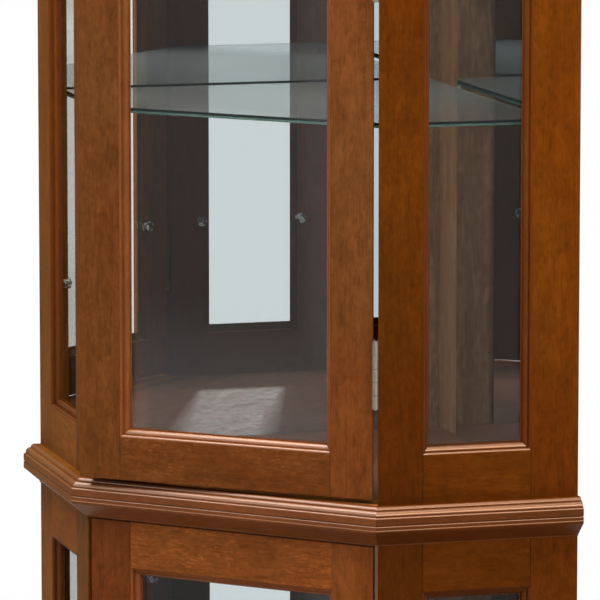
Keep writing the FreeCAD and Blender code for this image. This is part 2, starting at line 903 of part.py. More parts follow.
def shelf_supports():
    """Four pegs and one corner clip for each shelf."""
    master = shelf_pin_master()
    places = (size.front_pin_inset, size.side_width - size.rear_pin_inset)
    members = []
    for side, hand in (("left", -1), ("right", 1)):
        pegs = []
        for shelf, z in shelf_levels().items():
            for index, along in enumerate(places):
                peg = copy_of(master, f"{side}_{shelf}_pin_{index}")
                pegs.append(put(peg, hand * along, 0.0, z))
        members.append(seat(group(f"{side}_pins", pegs), side_station(hand)))
    tip = corner_depth - size.back_thick / COS45
    half = size.corner_clip_width / 2
    outline = [
        (0.0, tip),
        (-half, tip - half),
        (-half, tip - size.corner_clip_reach),
        (half, tip - size.corner_clip_reach),
        (half, tip - half),
    ]
    for shelf, z in shelf_levels().items():
        name = f"{shelf}_corner_clip"
        clip = prism(name, "XY_Plane", outline, size.corner_clip_height)
        members.append(seat(clip, front_station, z - size.corner_clip_height))
    node(group("shelf_supports", members), "shelf_supports")


# ---------------------------------------------------------------- hinges
slot = size.hinge_gap * COS22
knuckle = (size.hinge_length - size.knuckle_gap * (KNUCKLES - 1)) / KNUCKLES
plate_start = size.barrel_radius + size.barrel_clearance
leaf_screw_x = plate_start + size.leaf_width / 2
SCREW_SPOTS = (size.leaf_screw_inset, size.hinge_length - size.leaf_screw_inset)


def countersink(name, side, z, clearance):
    """A countersunk head along y, widest at the leaf's open face."""
    head = doc.addObject("Part::Cone", name)
    bind(head, Radius1=size.leaf_screw_head_radius + clearance)
    bind(head, Radius2=size.leaf_screw_radius + clearance)
    bind(head, Height=size.leaf_thick)
    open_face = slot / 2 - size.leaf_thick
    turn = Rotation(Vector(1, 0, 0), -90 * side)
    return put(head, leaf_screw_x, side * open_face, z, turn)


def leaf_master(name, side, first):
    """A hinge leaf in the hinge's frame: x into the gap, y across it, z up the barrel.

    side is -1 for the leaf on the side frame and 1 for the one on the door, and first is
    the index of its lowest knuckle.
    """
    near = slot / 2 - size.leaf_thick
    low_y = near if side > 0 else -slot / 2
    plate = doc.addObject("Part::Box", name + "_plate")
    bind(plate, Length=size.leaf_width, Width=size.leaf_thick, Height=size.hinge_length)
    parts = [put(plate, plate_start, low_y, 0.0)]
    for index in range(first, KNUCKLES, 2):
        z = (knuckle + size.knuckle_gap) * index
        ring = doc.addObject("Part::Cylinder", f"{name}_knuckle_{index}")
        bind(ring, Radius=size.barrel_radius, Height=knuckle)
        parts.append(put(ring, z=z))
        tab = doc.addObject("Part::Box", f"{name}_tab_{index}")
        bind(tab, Length=plate_start + size.leaf_thick, Width=size.leaf_thick, Height=knuckle)
        parts.append(put(tab, 0.0, low_y, z))
    solid = fuse(name + "_solid", parts)
    bore = doc.addObject("Part::Cylinder", name + "_bore")
    bind(bore, Radius=size.hinge_pin_radius + size.hinge_pin_clearance)
    bind(bore, Height=size.hinge_length + 2 * CUT_MARGIN)
    holes = [put(bore, z=-CUT_MARGIN)]
    for index, z in enumerate(SCREW_SPOTS):
        holes.append(countersink(f"{name}_sink_{index}", side, z, size.screw_clearance))
    leaf = doc.addObject("Part::Cut", name)
    leaf.Base = solid
    leaf.Tool = fuse(name + "_holes", holes)
    return leaf


def leaf_screw(name, side, z):
    """A countersunk wood screw through a leaf, along y into the wood behind it."""
    head = countersink(name + "_head", side, z, as_dim(0.0))
    shank = doc.addObject("Part::Cylinder", name + "_shank")
    bind(shank, Radius=size.leaf_screw_radius, Height=size.leaf_screw_length)
    turn = Rotation(Vector(1, 0, 0), -90 * side)
    put(shank, leaf_screw_x, side * (slot / 2 - size.leaf_thick), z, turn)
    return fuse(name, [head, shank])


def hinge_levels(part):
    """Heights of the lower ends of a door's hinges."""
    first = part.floor + size.door_floor_gap + size.hinge_inset
    last = part.head - size.door_head_gap - size.hinge_inset - size.hinge_length
    step = (last - first) / (part.hinges - 1)
    return [first + step * index for index in range(part.hinges)]


def hinge_station(ajar):
    """The hinge's frame: its x points from the pin into the bevelled gap."""
    return Station(axis_x, front_y - axis_out, as_dim(ajar) + HINGE_TURN)


def hinge_set(label, masters, levels, ajar):
    members = []
    for level, z in enumerate(levels):
        for index, master in enumerate(masters):
            members.append(put(copy_of(master, f"{label}_{level}_{index}"), z=z))
    node(seat(group(label, members), hinge_station(ajar)), label)


def hinges():
    """Butt hinges: leaves with their screws, and the pins that join them."""
    frame_parts = [leaf_master("frame_leaf", -1, 0)]
    door_parts = [leaf_master("door_leaf", 1, 1)]
    for index, z in enumerate(SCREW_SPOTS):
        frame_parts.append(leaf_screw(f"frame_screw_{index}", -1, z))
        door_parts.append(leaf_screw(f"door_screw_{index}", 1, z))
    every_level = hinge_levels(upper) + hinge_levels(lower)
    hinge_set("hinge_frame_leaves", frame_parts, every_level, 0.0)
    for part in COMPARTMENTS:
        hinge_set(f"{part.name}_door_hinge_leaves", door_parts, hinge_levels(part), part.ajar)
    head = size.hinge_pin_head_height
    shaft = doc.addObject("Part::Cylinder", "hinge_pin_shaft")
    bind(shaft, Radius=size.hinge_pin_radius, Height=size.hinge_length + head * 2)
    caps = []
    for index, z in enumerate((-head, size.hinge_length)):
        cap = doc.addObject("Part::Cylinder", f"hinge_pin_cap_{index}")
        bind(cap, Radius=size.hinge_pin_head_radius, Height=head)
        caps.append(put(cap, z=z))
    pin = fuse("hinge_pin", [put(shaft, z=-head), *caps])
    hinge_set("hinge_pins", [pin], every_level, 0.0)


# ---------------------------------------------------------------- doors
def door(part):
    """A framed glass door with its knob, clips and strike plate, hung on the right."""
    name = f"{part.name}_door"
    station = door_station(part.ajar)
    front = axis_out
    back = front + size.door_thick
    low = part.floor + size.door_floor_gap
    high = part.head - size.door_head_gap
    slope = size.door_thick * TAN22
    right = size.front_width / 2 - size.hinge_gap - axis_x
    left = size.latch_gap - size.front_width / 2 - axis_x
    x0 = left + size.latch_stile_width
    x1 = right - size.hinge_stile_width
    middle = (high - low) / 2
    knob_x = left + size.latch_stile_width / 2

    hinge_side = [(x1, front), (right, front), (right - slope, back), (x1, back)]
    stile = prism(f"{name}_hinge_stile", "XY_Plane", hinge_side, high - low)
    node(seat(ease(stile, front), station, low), f"{name}_hinge_stile")
    latch_side = [(left, front), (x0, front), (x0, back), (left + slope, back)]
    stile = prism(f"{name}_latch_stile", "XY_Plane", latch_side, high - low)
    ease(stile, front)
    hole = size.knob_screw_radius + size.knob_screw_clearance
    drill(stile, f"{name}_latch_stile", knob_x, middle, hole)
    node(seat(stile, station, low), f"{name}_latch_stile")

    rails = {"bottom_rail": (low, part.sill), "top_rail": (part.lintel, high)}
    for rail, (foot, head) in rails.items():
        board = prism(f"{name}_{rail}", "XY_Plane", rectangle(x0, x1, front, back), head - foot)
        node(seat(ease(board, front), station, foot), f"{name}_{rail}")

    glass = pane(f"{name}_glass", x0, x1, part, front)
    node(seat(glass, station, part.sill + size.glass_clearance), f"{name}_glass")
    strips = bead_frame(f"{name}_bead", x0, x1, part.sill, part.lintel, front)
    node(seat(group(f"{name}_beads", strips), station), f"{name}_beads")
    masters = (clip_master(front), clip_screw_master(front))
    clips = clips_round(f"{name}_clip", x0, x1, part, masters)
    node(seat(group(f"{name}_glass_clips", clips), station), f"{name}_glass_clips")
    knob(name, station, knob_x, front, low + middle)
    strike(name, station, left, back, part.floor)


def knob(name, station, x, front, z):
    """A turned knob on the door's face, and the screw that holds it from behind."""
    body = doc.addObject("PartDesign::Body", f"{name}_knob_turning")
    sketch = add_sketch(body, f"{name}_knob_profile", "XY_Plane")
    neck_end = size.knob_length - size.knob_ball_height
    outline = [
        (0.0, 0.0),
        (size.knob_base_radius, 0.0),
        (size.knob_base_radius, -size.knob_base_height),
        (size.knob_neck_radius, -size.knob_base_height),
        (size.knob_neck_radius, -neck_end, -1),
        (size.knob_radius, -neck_end - size.knob_ball_height / 2, -1),
        (0.0, -size.knob_length),
    ]
    draw_outline(sketch, outline)
    turning = body.newObject("PartDesign::Revolution", f"{name}_knob_revolution")
    turning.Profile = sketch
    turning.ReferenceAxis = (sketch, ["V_Axis"])
    turning.Angle = 360
    inward = Rotation(Vector(1, 0, 0), -90)
    shank = doc.addObject("Part::Cylinder", f"{name}_knob_shank")
    bind(shank, Radius=size.knob_screw_radius, Height=size.door_thick)
    head = doc.addObject("Part::Cylinder", f"{name}_knob_screw_head")
    bind(head, Radius=size.knob_screw_head_radius, Height=size.knob_screw_head_height)
    screw = fuse(
        f"{name}_knob_screw",
        [put(shank, rotation=inward), put(head, 0.0, size.door_thick, 0.0, inward)],
    )
    put(body, x, front, z)
    put(screw, x, front, z)
    node(seat(group(f"{name}_knob", [body, screw]), station), f"{name}_knob")


def strike(name, station, left, back, floor):
    """The steel plate on the door's back that the catch's magnet pulls."""
    plate = doc.addObject("Part::Box", f"{name}_strike")
    bind(plate, Length=size.strike_width, Width=size.strike_thick, Height=size.strike_height)
    x = left + catch_start() + (size.catch_width - size.strike_width) / 2
    holder = group(f"{name}_strike_plate", [put(plate, x, back, floor + size.strike_rise)])
    node(seat(holder, station), f"{name}_strike_plate")


def catch_start():
    """How far a catch stands from the door's latch edge, clear of the side frame."""
    return size.frame_thick + size.catch_inset


def catches():
    """Magnetic catches on the floor of each compartment, behind the doors' latch side."""
    left = size.latch_gap - size.front_width / 2
    y = size.door_thick + size.strike_thick + size.catch_gap
    bodies = []
    for part in COMPARTMENTS:
        body = doc.addObject("Part::Box", f"{part.name}_catch")
        bind(body, Length=size.catch_width, Width=size.catch_depth, Height=size.catch_height)
        bodies.append(put(body, left + catch_start(), y, part.floor))
    node(seat(group("magnetic_catches", bodies), front_station), "magnetic_catches")


# ---------------------------------------------------------------- build and write
def check_document():
    """Stops if any object failed to compute or any sub-part has no sound shape."""
    doc.recompute()
    for obj in doc.Objects:
        bad = [state for state in obj.State if state in ("Invalid", "Error")]
        if bad:
            raise RuntimeError(f"{obj.Label} is {bad}: {obj.getStatusString()}")
    for label, obj in NODES.items():
        shape = Part.getShape(obj)
        if shape.isNull() or not shape.isValid() or not shape.Solids:
            raise RuntimeError(f"{label} has no sound shape")


def write_parts():
    os.makedirs("parts", exist_ok=True)
    for label, obj in NODES.items():
        shape = obj.Shape
        shape.exportStep(f"parts/{label}.step")
        print(f"{label}: {len(shape.Solids)} solids, {shape.Volume / 1000:.1f} cm3")
    print(len(NODES), "nodes")


side_frames()
panels()
waist_front_rail()
backs()
mouldings()
side_glazing()
side_clips()
shelves()
shelf_supports()
hinges()
for part in COMPARTMENTS:
    door(part)
catches()
check_document()
write_parts()
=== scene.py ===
import math
from collections import namedtuple

import bpy
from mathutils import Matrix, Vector


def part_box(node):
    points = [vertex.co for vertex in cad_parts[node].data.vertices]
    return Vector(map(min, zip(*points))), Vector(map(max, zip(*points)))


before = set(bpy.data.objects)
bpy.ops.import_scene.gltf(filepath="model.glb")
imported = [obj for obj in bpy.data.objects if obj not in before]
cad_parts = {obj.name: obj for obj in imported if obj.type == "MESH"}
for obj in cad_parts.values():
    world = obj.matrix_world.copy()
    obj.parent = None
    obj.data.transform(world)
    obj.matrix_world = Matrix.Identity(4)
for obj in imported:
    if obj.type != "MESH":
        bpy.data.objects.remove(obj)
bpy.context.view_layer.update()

# ---------------------------------------------------------------- places, in metres
FRONT_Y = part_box("waist_front_rail")[0][1]
DECK_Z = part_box("waist_deck")[1][2]

# ---------------------------------------------------------------- camera
CAMERA_PLACE = (2.6098, -4.5311, 0.9431)  # from the middle of the deck's front edge
CAMERA_YAW = 29.1885  # degrees, from straight in front round to the cabinet's right
CAMERA_PITCH = 8.1994  # degrees, downwards
CAMERA_LENS = 323.99
CAMERA_SENSOR = 36.0
CAMERA_REACH = 200.0  # metres; a view of the whole cabinet through so long a lens stands far back


def make_camera():
    data = bpy.data.cameras.new("camera")
    data.lens = CAMERA_LENS
    data.sensor_width = CAMERA_SENSOR
    data.clip_end = CAMERA_REACH
    camera = bpy.data.objects.new("camera", data)
    x, y, z = CAMERA_PLACE
    camera.location = (x, FRONT_Y + y, DECK_Z + z)
    camera.rotation_euler = (math.radians(90 - CAMERA_PITCH), 0, math.radians(CAMERA_YAW))
    bpy.context.collection.objects.link(camera)
    bpy.context.scene.camera = camera


make_camera()

# ---------------------------------------------------------------- node helpers
# Where a colour Mix node keeps its two colours among its inputs, and their mix among its outputs.
MIX_FIRST, MIX_SECOND, MIX_RESULT = 6, 7, 2


class Nodes:
    """Builds one material's or the world's node tree. A colour is given as red, green and blue."""

    def __init__(self, tree):
        self.tree = tree
        tree.nodes.clear()

    def feed(self, socket, value):
        """Links an input to another node's output, or sets its value."""
        if isinstance(value, bpy.types.NodeSocket):
            self.tree.links.new(value, socket)
        elif socket.type == "RGBA":
            socket.default_value = (*value, 1.0)
        else:
            socket.default_value = value

    def add(self, kind, *inputs, **values):
        """Adds a node and feeds its first inputs in order. A named value is for a setting or an input."""
        node = self.tree.nodes.new("ShaderNode" + kind)
        for socket, value in zip(node.inputs, inputs):
            self.feed(socket, value)
        for name, value in values.items():
            if hasattr(node, name):
                setattr(node, name, value)
            else:
                self.feed(node.inputs[name.replace("_", " ")], value)
        return node

    def read(self, kind, output):
        """What a node without inputs says of the point or the ray."""
        return self.add(kind).outputs[output]

    def place(self, turn=0.0, scale=(1.0, 1.0, 1.0), shift=(0.0, 0.0, 0.0)):
        """The point in the cabinet's own frame, turned back to a face and then stretched and shifted."""
        point = self.read("TexCoord", "Object")
        spin = self.add("VectorRotate", rotation_type="Z_AXIS", Vector=point, Angle=math.radians(-turn))
        return self.add("Mapping", Vector=spin.outputs[0], Scale=scale, Location=shift).outputs[0]

    def part(self, vector, axis):
        return self.add("SeparateXYZ", vector).outputs[axis]

    def noise(self, vector, scale, detail, roughness, distortion=0.0):
        shape = {"Scale": scale, "Detail": detail, "Roughness": roughness, "Distortion": distortion}
        return self.add("TexNoise", Vector=vector, **shape).outputs["Fac"]

    def math(self, operation, *values):
        return self.add("Math", *values, operation=operation).outputs[0]

    def without(self, value, mask):
        """The whole value where the mask is 0, and nothing where it is 1."""
        return self.math("MULTIPLY", value, self.math("SUBTRACT", 1.0, mask))

    def steps(self, value, low, high, to_low=0.0, to_high=1.0, smooth=True):
        """Goes from to_low to to_high while the value goes from low to high."""
        kind = "SMOOTHSTEP" if smooth else "LINEAR"
        return self.add("MapRange", value, low, high, to_low, to_high, interpolation_type=kind).outputs[0]

    def ramp(self, value, stops):
        """A colour that follows the value through stops, each a place and its colour."""
        node = self.add("ValToRGB", value)
        elements = node.color_ramp.elements
        while len(elements) < len(stops):
            elements.new(1.0)
        for element, (place, colour) in zip(elements, stops):
            element.position = place
            element.color = (*colour, 1.0)
        return node.outputs[0]

    def mix(self, factor, first, second, blend="MIX"):
        node = self.add("Mix", factor, data_type="RGBA", blend_type=blend)
        self.feed(node.inputs[MIX_FIRST], first)
        self.feed(node.inputs[MIX_SECOND], second)
        return node.outputs[MIX_RESULT]

    def bump(self, height, strength, distance):
        return self.add("Bump", Height=height, Strength=strength, Distance=distance).outputs[0]

    def shader(self, kind, **values):
        return self.add(kind, **values).outputs[0]

    def mix_shaders(self, factor, first, second):
        return self.add("MixShader", factor, first, second).outputs[0]

    def finish(self, shader, kind="OutputMaterial"):
        self.add(kind, Surface=shader)


def new_material(name):
    material = bpy.data.materials.new(name)
    material.use_nodes = True
    return material, Nodes(material.node_tree)


def shade(colour, gain):
    return tuple(channel * gain for channel in colour)


def dress(names, material):
    """Gives CAD nodes a material in place of their plain one."""
    for name in names:
        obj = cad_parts[name]
        for slot in obj.material_slots:
            slot.material = material


WHITE = (1.0, 1.0, 1.0)
# A band is the two values, of a noise, a place or a direction, between which a change sets in.
NOISE_BAND = (0.3, 0.7)  # holds nearly all of a noise

# ---------------------------------------------------------------- wood: grain
# A layer of the grain is a noise. Its squeeze draws it out along the board, and its shift tells it
# from the other layers.
Layer = namedtuple("Layer", "squeeze shift scale detail roughness distortion", defaults=(0.0,))
GRAIN = {
    "figure": Layer(0.10, 0.0, 130.0, 5.0, 0.62, 1.2),
    "mottle": Layer(0.60, 7.1, 130.0, 3.0, 0.60, 0.8),
    "cloud": Layer(0.45, 1.7, 24.0, 3.0, 0.55),
    "fleck": Layer(0.30, 5.3, 480.0, 2.0, 0.55),
    "pores": Layer(0.07, 2.9, 620.0, 2.0, 0.50),
    "warmth": Layer(0.50, 3.3, 9.0, 2.0, 0.50),
}
BACK_GRAIN = {**GRAIN, "cloud": Layer(0.04, 1.7, 70.0, 3.0, 0.55)}  # a back board is streaked instead
TURNS = {"front": 0.0, "right": 45.0, "left": -45.0, "deck": 0.0, "back": 0.0}  # degrees from the front


def grain_layers(n, tone, along, seed):
    """The layers of one board's grain, by name."""
    layers = BACK_GRAIN if tone == "back" else GRAIN
    values = {}
    for name, layer in layers.items():
        scale = [1.0, 1.0, 1.0]
        scale["XYZ".index(along)] = layer.squeeze
        point = n.place(TURNS[tone], scale, (seed + layer.shift, layer.shift, seed))
        values[name] = n.noise(point, layer.scale, layer.detail, layer.roughness, layer.distortion)
    return values


# ---------------------------------------------------------------- wood: stain
# Stain colours by the way a board faces: the darkest, the middle and the lightest of its figure. The front,
# right and left tones of the one wood differ partly as painted light, for how differently light and sheen
# fall on each face.
WOOD_TONES_AND_FACE_LIGHT = {
    "front": ((0.090, 0.0270, 0.0055), (0.140, 0.0430, 0.0097), (0.190, 0.0620, 0.0160)),
    "right": ((0.068, 0.0160, 0.0006), (0.100, 0.0235, 0.0011), (0.136, 0.0330, 0.0021)),
    "left": ((0.104, 0.0335, 0.0050), (0.155, 0.0510, 0.0082), (0.200, 0.0690, 0.0125)),
    "deck": ((0.076, 0.0290, 0.0150), (0.112, 0.0435, 0.0235), (0.152, 0.0610, 0.0350)),
    "back": ((0.145, 0.0640, 0.0330), (0.235, 0.1150, 0.0580), (0.345, 0.1800, 0.0950)),
}
FIGURE_SHARES = {"figure": 0.28, "mottle": 0.36, "cloud": 0.28, "fleck": 0.08}  # of each layer
FIGURE_MIDDLE = 0.5  # where their sum has the middle colour
WARMTH_BAND = (0.35, 0.65)
REDDER = (1.03, 0.95, 0.90)
COOLER = (0.98, 1.04, 1.06)
FLECK_CLOUD_BAND = (0.36, 0.56)  # bright flecks show only in parts of the cloud
FLECK_BAND = (0.54, 0.68)
FLECK_GAIN = 1.35  # how much lighter a bright fleck is than the lightest stain
PORE_BAND = (0.56, 0.70)
PORE_GAIN = 0.6  # how much darker a pore is than the darkest stain
PORE_COVER = 0.30  # how much of a pore shows through the coat
# Painted shade: what the stain is multiplied by low on a face, for light that falls off downwards, and the
# two heights between which it sets in.
PAINTED_FALLOFF = {"front": (0.95, 0.80, 0.62), "right": (0.58, 0.54, 0.58)}
FADE_TOP = DECK_Z + 0.31
FADE_FOOT = DECK_Z - 0.11


def stain(n, grain, pores, tone, gain, spread, flecks):
    """The stain's colour. spread is how far the figure swings from its middle to its end colours."""
    dark, middle, light = [shade(colour, gain) for colour in WOOD_TONES_AND_FACE_LIGHT[tone]]
    value = 0.0
    for name, share in FIGURE_SHARES.items():
        value = n.math("MULTIPLY_ADD", grain[name], share, value)
    low, high = FIGURE_MIDDLE - spread, FIGURE_MIDDLE + spread
    colour = n.ramp(value, [(low, dark), (FIGURE_MIDDLE, middle), (high, light)])
    warmth = n.mix(n.steps(grain["warmth"], *WARMTH_BAND), REDDER, COOLER)
    colour = n.mix(1.0, colour, warmth, "MULTIPLY")
    fleck_patch = n.math("MULTIPLY", n.steps(grain["cloud"], *FLECK_CLOUD_BAND), flecks)
    bright_fleck = n.math("MULTIPLY", n.steps(grain["fleck"], *FLECK_BAND), fleck_patch)
    colour = n.mix(bright_fleck, colour, shade(light, FLECK_GAIN))
    return n.mix(n.math("MULTIPLY", pores, PORE_COVER), colour, shade(dark, PORE_GAIN))


def paint_falloff_shade(n, colour, tone):
    """Painted shade: the stain is darker towards the foot of the front and of the right side, as if the
    light fell off downwards.
    """
    down = n.steps(n.part(n.place(), "Z"), FADE_FOOT, FADE_TOP, 1.0, 0.0, smooth=False)
    return n.mix(down, colour, PAINTED_FALLOFF[tone], "MULTIPLY")


# ---------------------------------------------------------------- wood: coat
# How each kind of surface shines: its specular level and index of refraction, its roughness where it
# is smoothest and roughest, the strength of its relief, and the spread of its figure.
Coat = namedtuple("Coat", "level ior smoothest roughest relief spread")
COATS = {
    "flat": Coat(0.10, 1.5, 0.44, 0.54, 0.10, 0.13),
    "moulded": Coat(1.0, 1.70, 0.38, 0.42, 0.0, 0.22),
    "deck": Coat(0.09, 1.5, 0.52, 0.66, 0.70, 0.13),
}
SHINE_TINTS = {
    "front": (1.0, 0.62, 0.44),
    "right": (1.0, 0.45, 0.22),
    "left": (1.0, 0.60, 0.40),
    "deck": WHITE,
    "back": (1.0, 0.8, 0.6),
}
MOULDED_TINTS = {"front": (1.0, 0.72, 0.56), "right": (1.0, 0.58, 0.36), "left": (1.0, 0.70, 0.52)}
RELIEF_DEPTH = 0.0003
PORE_RELIEF = 0.5  # how deep the pores are in the relief
# The deck's front edge, shaded by the door above it, is painted a brighter and redder brown as painted
# light, and has no shine. It blends into the deck between these places.
LIP_BAND = (FRONT_Y + 0.022, FRONT_Y + 0.033)
LIP_PAINTED_LIGHT = (0.34, 0.120, 0.030)
# How a moulding's faces differ, by how far up they face: 1 is straight up and -1 straight down.
SHINE_BAND = (-0.10, 0.32)
LEDGE_BAND = (0.90, 0.99)
UNDERSIDE_SHADE_BAND = (-0.10, -0.55)
UNDERSIDE_LEVEL = 0.05
UNDERSIDE_PAINTED_SHADE = (0.74, 0.68, 0.22)  # painted shade, darker where the underside is shaded


# Painted light: a brighter colour on the deck's shaded front edge.
def deck_lip(n, colour, level):
    lip = n.steps(n.part(n.place(), "Y"), *LIP_BAND, 1.0, 0.0)
    return n.mix(lip, colour, LIP_PAINTED_LIGHT), n.without(level, lip)


def moulding_faces(n, colour, level):
    """A moulding is glossy on its front, dull on its ledges and underside, and darker below as painted
    shade.
    """
    upward = n.part(n.read("NewGeometry", "Normal"), "Z")
    level = n.steps(upward, *SHINE_BAND, UNDERSIDE_LEVEL, level)
    level = n.without(level, n.steps(upward, *LEDGE_BAND))
    return n.mix(n.steps(upward, *UNDERSIDE_SHADE_BAND), colour, UNDERSIDE_PAINTED_SHADE, "MULTIPLY"), level


# ---------------------------------------------------------------- wood: boards
FLECKS = 0.10  # how much the bright flecks show
RAIL_FLECKS = 0.65
MOULDING_FLECKS = 0.35
# How much lighter or darker than its tone each board is drawn: partly its own tone, partly painted light
# and shade for how brightly it is lit.
BOARD_TONE_AND_LIGHT_GAINS = {
    "upper_door_hinge_stile": 0.83,
    "upper_door_latch_stile": 0.72,
    "upper_door_bottom_rail": 0.74,
    "upper_door_top_rail": 0.74,
    "lower_door_hinge_stile": 1.04,
    "lower_door_latch_stile": 0.64,
    "lower_door_top_rail": 1.12,
    "right_front_stile": 0.87,
    "right_rear_stile": 1.25,
    "right_waist_rail": 1.17,
    "left_front_stile": 0.72,
    "left_rear_stile": 0.88,
    "left_waist_rail": 0.98,
}
# How much lighter or darker each face's mouldings are drawn, partly painted light and shade for how each
# face is lit.
MOULDING_TONE_AND_LIGHT_GAINS = {"front": 0.80, "right": 1.05, "left": 0.88}
BOARD_SEED = 1.7  # the step from one board's figure to the next one's


def wood(name, tone, along, seed, finish="flat", gain=1.0, flecks=FLECKS):
    """Satin stained wood. along is the axis that the grain runs on once a face is turned to the front."""
    material, n = new_material(name)
    coat = COATS[finish]
    grain = grain_layers(n, tone, along, seed)
    pores = n.steps(grain["pores"], *PORE_BAND)
    colour = stain(n, grain, pores, tone, gain, coat.spread, flecks)
    level = coat.level
    # Painted shade, darker downwards, on the front and the right side.
    if tone in PAINTED_FALLOFF:
        colour = paint_falloff_shade(n, colour, tone)
    if finish == "deck":
        colour, level = deck_lip(n, colour, level)
    if finish == "moulded":
        colour, level = moulding_faces(n, colour, level)
    relief = n.math("SUBTRACT", grain["mottle"], n.math("MULTIPLY", pores, PORE_RELIEF))
    tints = MOULDED_TINTS if finish == "moulded" else SHINE_TINTS
    shader = n.shader(
        "BsdfPrincipled",
        Base_Color=colour,
        Roughness=n.steps(grain["mottle"], *NOISE_BAND, coat.smoothest, coat.roughest),
        IOR=coat.ior,
        Specular_IOR_Level=level,
        Specular_Tint=tints[tone],
        Normal=n.bump(relief, coat.relief, RELIEF_DEPTH),
    )
    n.finish(shader)
    return material


def dress_board(name, tone, along, flecks=FLECKS):
    """Each board gets a figure of its own, placed by how many woods are made before it."""
    woods = [material for material in bpy.data.materials if material.name.startswith("wood_")]
    look = {"gain": BOARD_TONE_AND_LIGHT_GAINS.get(name, 1.0), "flecks": flecks}
    dress([name], wood(f"wood_{name}", tone, along, seed=BOARD_SEED * len(woods), **look))


def dress_mouldings():
    for tone, gain in MOULDING_TONE_AND_LIGHT_GAINS.items():
        look = {"finish": "moulded", "gain": gain, "flecks": MOULDING_FLECKS}
        moulded = wood(f"wood_{tone}_moulded", tone, "X", seed=2.0, **look)
        dress([f"waist_moulding_{tone}", f"crown_{tone}"], moulded)
        dress_board(f"base_skirt_{tone}", tone, "X")


def dress_sides():
    for side in ("left", "right"):
        for stile in ("front_stile", "rear_stile"):
            dress_board(f"{side}_{stile}", side, "Z")
        for rail in ("top_rail", "waist_rail", "bottom_rail"):
            dress_board(f"{side}_{rail}", side, "X")


def dress_doors():
    beads = wood("wood_beads", "front", "Z", seed=1.0, finish="moulded")
    for door in ("upper_door", "lower_door"):
        for stile in ("hinge_stile", "latch_stile"):
            dress_board(f"{door}_{stile}", "front", "Z")
        for rail in ("top_rail", "bottom_rail"):
            dress_board(f"{door}_{rail}", "front", "X", RAIL_FLECKS)
        dress([f"{door}_beads"], beads)


def dress_wood():
    dress_mouldings()
    dress_sides()
    dress_doors()
    dress_board("waist_front_rail", "front", "X")
    beads = wood("wood_side_beads", "right", "Z", seed=1.0, finish="moulded")
    dress(["side_glazing_beads"], beads)
    deck = wood("wood_deck", "deck", "X", seed=4.0, finish="deck")
    dress(["waist_deck", "bottom_panel", "top_panel"], deck)
    dress(["left_back_panel", "right_back_panel"], wood("wood_back", "back", "Z", seed=9.0))


# ---------------------------------------------------------------- glass
GLASS_IOR = 1.5
PANE_TINT = (0.985, 0.992, 0.988)
SIDE_PANE_SHINE = 0.25
DOOR_PANE_SHINE = 1.0
DOOR_PANE_GLEAM = 1.0
# A gleaming pane mirrors more near its right edge and its foot, as a painted reflection. Places are shares
# of its own size.
GLEAM_EDGE_BAND = (0.74, 0.96)
GLEAM_FOOT_BAND = (0.16, 0.06)


def pane_glass(name, shine, gleam=0.0):
    """Window glass: it lets light straight through and mirrors more at a slant, alike on both of its faces.

    gleam is how much more it mirrors near its foot and its right edge, as a painted reflection.
    """
    material, n = new_material(name)
    clear = n.shader("BsdfTransparent", Color=PANE_TINT)
    gloss = n.shader("BsdfGlossy", Color=(shine, shine, shine), Roughness=0.0)
    behind = n.read("NewGeometry", "Backfacing")
    bend = n.math("ADD", GLASS_IOR, n.math("MULTIPLY", behind, 1.0 / GLASS_IOR - GLASS_IOR))
    amount = n.add("Fresnel", IOR=bend).outputs[0]
    # Painted reflection: the pane mirrors more near its foot and its right edge.
    if gleam:
        spot = n.read("TexCoord", "Generated")
        near_edge = n.steps(n.part(spot, "X"), *GLEAM_EDGE_BAND, 0.0, gleam)
        near_foot = n.steps(n.part(spot, "Z"), *GLEAM_FOOT_BAND, 0.0, gleam)
        amount = n.math("MULTIPLY", amount, n.math("ADD", 1.0, n.math("MAXIMUM", near_edge, near_foot)))
    n.finish(n.mix_shaders(amount, clear, gloss))
    return material


SHELF_TINT = (0.93, 0.965, 0.95)
SHELF_SHADOW = (0.90, 0.94, 0.92)
EDGE_BAND = (0.5, 0.6)  # a face that is less level than this is one of the shelf's edges
RIM_BAND = (0.40, 0.55)  # shares of the shelf's thickness, from the light part of its edge to the dark; the light lower part is painted light
RIM_LOW = (0.45, 0.70, 0.62)
RIM_HIGH = (0.012, 0.050, 0.040)
# Painted sheen: a grey diffuse on the shelf's faces at a slant stands in for their reflection.
SHEEN_GREY = (0.19, 0.195, 0.19)
SHEEN_BAND = (0.65, 0.85)  # how far a face turns away where the painted sheen starts to show
SHEEN_MOST = 0.50
WEAKER_SHEEN_BAND = (0.10, 0.20)  # metres right of the middle, where the painted sheen gets weaker
WEAKER_SHEEN = 0.45


